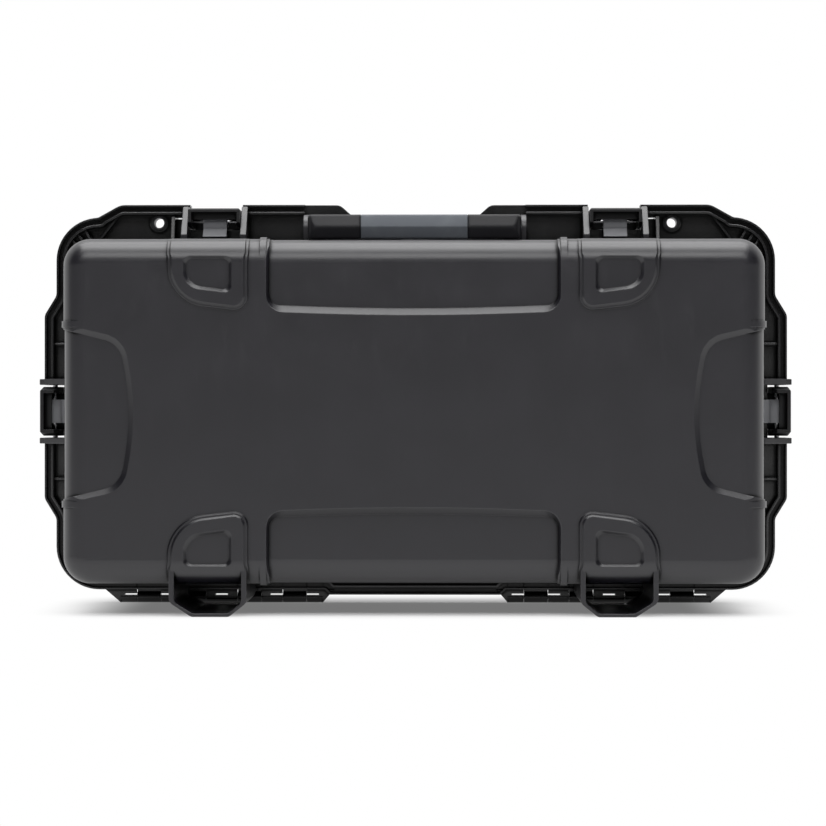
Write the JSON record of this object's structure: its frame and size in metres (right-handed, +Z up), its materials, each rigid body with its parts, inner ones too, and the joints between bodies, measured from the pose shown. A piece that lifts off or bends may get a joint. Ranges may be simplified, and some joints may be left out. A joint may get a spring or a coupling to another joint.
{
  "type": "hard case",
  "caption": "Long rectangular hard case with a hinged lid, lever latches on the front and ends, a folding front handle, padlock eyelets and feet, standing on its hinge side.",
  "frame": {"origin": "on the floor under the standing case, midway along its length and its depth", "axes": "+X along the case's length, +Y from the bottom of the base to the lid, +Z up from the hinge side to the handle side"},
  "size_m": [0.7116, 0.212, 0.3819],
  "materials": {
    "shell": "fine moulded grain",
    "lever": "smooth moulded",
    "trigger": "smooth moulded",
    "handle": "smooth moulded",
    "grip": "soft matt sleeve",
    "gasket": "closed-cell rubber",
    "valve": "moulded",
    "membrane": "porous disc",
    "steel": "stainless",
    "spring": "spring steel"
  },
  "bodies": {
    "base": {"base_shell": "shell", "hinge_pin_right": "steel", "hinge_pin_left": "steel", "handle_pin_right": "steel", "handle_pin_left": "steel", "padlock_eyelet_base_right": "steel", "padlock_eyelet_base_left": "steel", "valve_body": "valve", "valve_membrane": "membrane", "valve_seal": "gasket", "valve_nut": "valve"},
    "lid": {"lid_shell": "shell", "lid_gasket": "gasket", "padlock_eyelet_lid_right": "steel", "padlock_eyelet_lid_left": "steel", "latch_pin_front_left": "steel", "latch_pin_front_right": "steel", "latch_pin_side_left": "steel", "latch_pin_side_right": "steel"},
    "handle": {"handle_frame": "handle", "handle_grip": "grip"},
    "latch_front_left": {"latch_lever_front_left": "lever", "trigger_pin_front_left": "steel", "trigger_spring_front_left": "spring"},
    "trigger_front_left": {"latch_trigger_front_left": "trigger"},
    "latch_front_right": {"latch_lever_front_right": "lever", "trigger_pin_front_right": "steel", "trigger_spring_front_right": "spring"},
    "trigger_front_right": {"latch_trigger_front_right": "trigger"},
    "latch_side_left": {"latch_lever_side_left": "lever", "trigger_pin_side_left": "steel", "trigger_spring_side_left": "spring"},
    "trigger_side_left": {"latch_trigger_side_left": "trigger"},
    "latch_side_right": {"latch_lever_side_right": "lever", "trigger_pin_side_right": "steel", "trigger_spring_side_right": "spring"},
    "trigger_side_right": {"latch_trigger_side_right": "trigger"}
  },
  "joints": [
    {"name": "lid_hinge", "type": "hinge", "parent": "base", "child": "lid", "pos_m": [0, 0.044, 0.0082], "axis": [-1, 0, 0], "range_deg": [0, 95]},
    {"name": "handle_hinge", "type": "hinge", "parent": "base", "child": "handle", "pos_m": [0, 0.02, 0.35825], "axis": [-1, 0, 0], "range_deg": [0, 95]},
    {"name": "latch_front_left_hinge", "type": "hinge", "parent": "lid", "child": "latch_front_left", "pos_m": [-0.189, 0.057, 0.3693], "axis": [-1, 0, 0], "range_deg": [0, 120]},
    {"name": "trigger_front_left_rock", "type": "hinge", "parent": "latch_front_left", "child": "trigger_front_left", "pos_m": [-0.189, 0.029, 0.3653], "axis": [-1, 0, 0], "range_deg": [0, 12], "stiffness_Nm_per_rad": 0.3, "springref_deg": -8.59, "deforming": ["trigger_spring_front_left"]},
    {"name": "latch_front_right_hinge", "type": "hinge", "parent": "lid", "child": "latch_front_right", "pos_m": [0.189, 0.057, 0.3693], "axis": [-1, 0, 0], "range_deg": [0, 120]},
    {"name": "trigger_front_right_rock", "type": "hinge", "parent": "latch_front_right", "child": "trigger_front_right", "pos_m": [0.189, 0.029, 0.3653], "axis": [-1, 0, 0], "range_deg": [0, 12], "stiffness_Nm_per_rad": 0.3, "springref_deg": -8.59, "deforming": ["trigger_spring_front_right"]},
    {"name": "latch_side_left_hinge", "type": "hinge", "parent": "lid", "child": "latch_side_left", "pos_m": [-0.3458, 0.057, 0.1855], "axis": [0, 0, -1], "range_deg": [0, 120]},
    {"name": "trigger_side_left_rock", "type": "hinge", "parent": "latch_side_left", "child": "trigger_side_left", "pos_m": [-0.3418, 0.029, 0.1855], "axis": [0, 0, -1], "range_deg": [0, 12], "stiffness_Nm_per_rad": 0.3, "springref_deg": -8.59, "deforming": ["trigger_spring_side_left"]},
    {"name": "latch_side_right_hinge", "type": "hinge", "parent": "lid", "child": "latch_side_right", "pos_m": [0.3458, 0.057, 0.1855], "axis": [0, 0, 1], "range_deg": [0, 120]},
    {"name": "trigger_side_right_rock", "type": "hinge", "parent": "latch_side_right", "child": "trigger_side_right", "pos_m": [0.3418, 0.029, 0.1855], "axis": [0, 0, 1], "range_deg": [0, 12], "stiffness_Nm_per_rad": 0.3, "springref_deg": -8.59, "deforming": ["trigger_spring_side_right"]}
  ]
}
